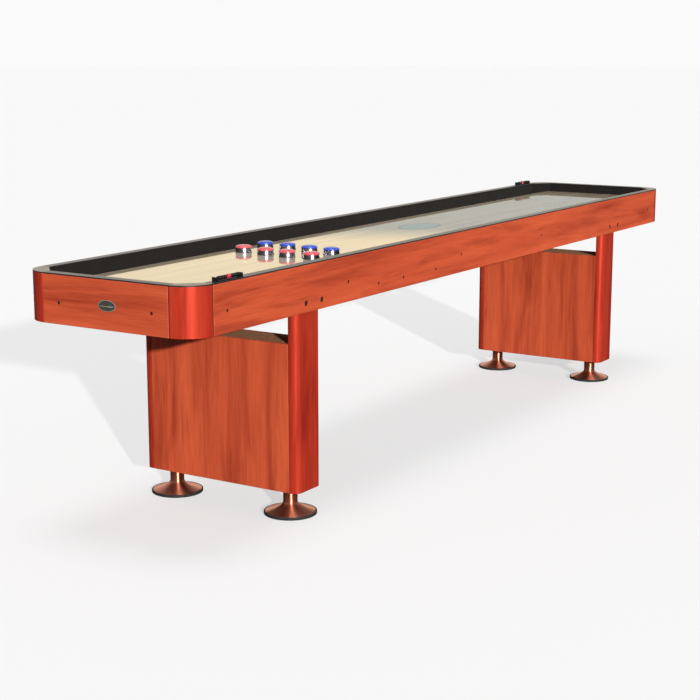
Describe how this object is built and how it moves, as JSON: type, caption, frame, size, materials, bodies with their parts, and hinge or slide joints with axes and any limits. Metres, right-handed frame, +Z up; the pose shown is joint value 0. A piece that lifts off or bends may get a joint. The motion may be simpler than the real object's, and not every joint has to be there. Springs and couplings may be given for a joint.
{
  "type": "shuffleboard table",
  "caption": "Long low-walled shuffleboard table with a glossy maple playfield, carpeted gutters, abacus scorers and two box pedestals on screw levelers.",
  "frame": {"origin": "on the floor, under the middle of the table", "axes": "+X along the table, +Y across it towards the back long side, +Z up"},
  "size_m": [3.658, 0.671, 0.8606],
  "materials": {
    "cherry_laminate": "satin cherry-red wood laminate with straight grain",
    "red_stained_wood": "glossy red-stained solid wood",
    "rail_metal": "dark grey semi-gloss metal trim",
    "black_carpet": "short-pile charcoal carpet",
    "maple": "clear high-gloss finish on laminated maple",
    "raw_board": "uncoated brown board",
    "copper": "brushed copper-plated metal",
    "black_rubber": "matte black rubber",
    "puck_red": "chrome body with a red plastic cap",
    "puck_blue": "chrome body with a blue plastic cap",
    "black_metal": "satin black",
    "black_bead": "glossy black",
    "red_bead": "glossy red"
  },
  "bodies": {
    "table": {"side_apron_front": "cherry_laminate", "side_apron_back": "cherry_laminate", "end_apron_left": "cherry_laminate", "end_apron_right": "cherry_laminate", "corner_post_front_left": "red_stained_wood", "corner_post_front_right": "red_stained_wood", "corner_post_back_left": "red_stained_wood", "corner_post_back_right": "red_stained_wood", "rail_cap_front_left": "rail_metal", "rail_cap_front_right": "rail_metal", "rail_cap_back_left": "rail_metal", "rail_cap_back_right": "rail_metal", "rail_trim_front": "rail_metal", "rail_trim_back": "rail_metal", "rail_trim_left": "rail_metal", "rail_trim_right": "rail_metal", "carpet_wall_front": "black_carpet", "carpet_wall_back": "black_carpet", "carpet_wall_left": "black_carpet", "carpet_wall_right": "black_carpet", "gutter_floor": "black_carpet", "playfield": "maple", "cross_rail_left": "raw_board", "cross_rail_right": "raw_board", "leg_post_front_left": "red_stained_wood", "leg_post_front_right": "red_stained_wood", "leg_post_back_left": "red_stained_wood", "leg_post_back_right": "red_stained_wood", "leg_panel_left_outer": "cherry_laminate", "leg_panel_left_inner": "cherry_laminate", "leg_top_board_left": "raw_board", "leg_base_board_left": "raw_board", "leg_panel_right_outer": "cherry_laminate", "leg_panel_right_inner": "cherry_laminate", "leg_top_board_right": "raw_board", "leg_base_board_right": "raw_board", "scorer_frame_front": "black_metal", "scorer_frame_back": "black_metal"},
    "leveler_front_left": {"leveler_foot_front_left": "copper", "leveler_pad_front_left": "black_rubber"},
    "leveler_front_right": {"leveler_foot_front_right": "copper", "leveler_pad_front_right": "black_rubber"},
    "leveler_back_left": {"leveler_foot_back_left": "copper", "leveler_pad_back_left": "black_rubber"},
    "leveler_back_right": {"leveler_foot_back_right": "copper", "leveler_pad_back_right": "black_rubber"},
    "puck_red_1": {"puck_red_1": "puck_red"},
    "puck_red_2": {"puck_red_2": "puck_red"},
    "puck_red_3": {"puck_red_3": "puck_red"},
    "puck_red_4": {"puck_red_4": "puck_red"},
    "puck_blue_1": {"puck_blue_1": "puck_blue"},
    "puck_blue_2": {"puck_blue_2": "puck_blue"},
    "puck_blue_3": {"puck_blue_3": "puck_blue"},
    "puck_blue_4": {"puck_blue_4": "puck_blue"},
    "scorer_front_inner_beads": {"scorer_beads_front_inner": "black_bead"},
    "scorer_front_marker": {"scorer_marker_front": "red_bead"},
    "scorer_front_outer_beads": {"scorer_beads_front_outer": "black_bead"},
    "scorer_back_inner_beads": {"scorer_beads_back_inner": "black_bead"},
    "scorer_back_marker": {"scorer_marker_back": "red_bead"},
    "scorer_back_outer_beads": {"scorer_beads_back_outer": "black_bead"}
  },
  "joints": [
    {"name": "leveler_height_front_left", "type": "slide", "parent": "table", "child": "leveler_front_left", "axis": [0, 0, 1], "range_m": [-0.012, 0.012]},
    {"name": "leveler_height_front_right", "type": "slide", "parent": "table", "child": "leveler_front_right", "axis": [0, 0, 1], "range_m": [-0.012, 0.012]},
    {"name": "leveler_height_back_left", "type": "slide", "parent": "table", "child": "leveler_back_left", "axis": [0, 0, 1], "range_m": [-0.012, 0.012]},
    {"name": "leveler_height_back_right", "type": "slide", "parent": "table", "child": "leveler_back_right", "axis": [0, 0, 1], "range_m": [-0.012, 0.012]},
    {"name": "slide_puck_red_1", "type": "slide", "parent": "table", "child": "puck_red_1", "axis": [1, 0, 0], "range_m": [-0.726, 0.066]},
    {"name": "slide_puck_red_2", "type": "slide", "parent": "table", "child": "puck_red_2", "axis": [1, 0, 0], "range_m": [-0.711, 0.066]},
    {"name": "slide_puck_red_3", "type": "slide", "parent": "table", "child": "puck_red_3", "axis": [1, 0, 0], "range_m": [-0.707, 0.066]},
    {"name": "slide_puck_red_4", "type": "slide", "parent": "table", "child": "puck_red_4", "axis": [1, 0, 0], "range_m": [-0.704, 0.066]},
    {"name": "slide_puck_blue_1", "type": "slide", "parent": "table", "child": "puck_blue_1", "axis": [1, 0, 0], "range_m": [-0.066, 2.488]},
    {"name": "slide_puck_blue_2", "type": "slide", "parent": "table", "child": "puck_blue_2", "axis": [1, 0, 0], "range_m": [-0.066, 2.484]},
    {"name": "slide_puck_blue_3", "type": "slide", "parent": "table", "child": "puck_blue_3", "axis": [1, 0, 0], "range_m": [-0.066, 2.499]},
    {"name": "slide_puck_blue_4", "type": "slide", "parent": "table", "child": "puck_blue_4", "axis": [1, 0, 0], "range_m": [-0.066, 2.502]},
    {"name": "slide_scorer_front_inner_beads", "type": "slide", "parent": "table", "child": "scorer_front_inner_beads", "axis": [-1, 0, 0], "range_m": [-0.0015, 0.0025]},
    {"name": "slide_scorer_front_marker", "type": "slide", "parent": "table", "child": "scorer_front_marker", "axis": [-1, 0, 0], "range_m": [-0.0025, 0.0025]},
    {"name": "slide_scorer_front_outer_beads", "type": "slide", "parent": "table", "child": "scorer_front_outer_beads", "axis": [-1, 0, 0], "range_m": [-0.0025, 0.008]},
    {"name": "slide_scorer_back_inner_beads", "type": "slide", "parent": "table", "child": "scorer_back_inner_beads", "axis": [1, 0, 0], "range_m": [-0.0015, 0.0025]},
    {"name": "slide_scorer_back_marker", "type": "slide", "parent": "table", "child": "scorer_back_marker", "axis": [1, 0, 0], "range_m": [-0.0025, 0.0025]},
    {"name": "slide_scorer_back_outer_beads", "type": "slide", "parent": "table", "child": "scorer_back_outer_beads", "axis": [1, 0, 0], "range_m": [-0.0025, 0.008]}
  ]
}
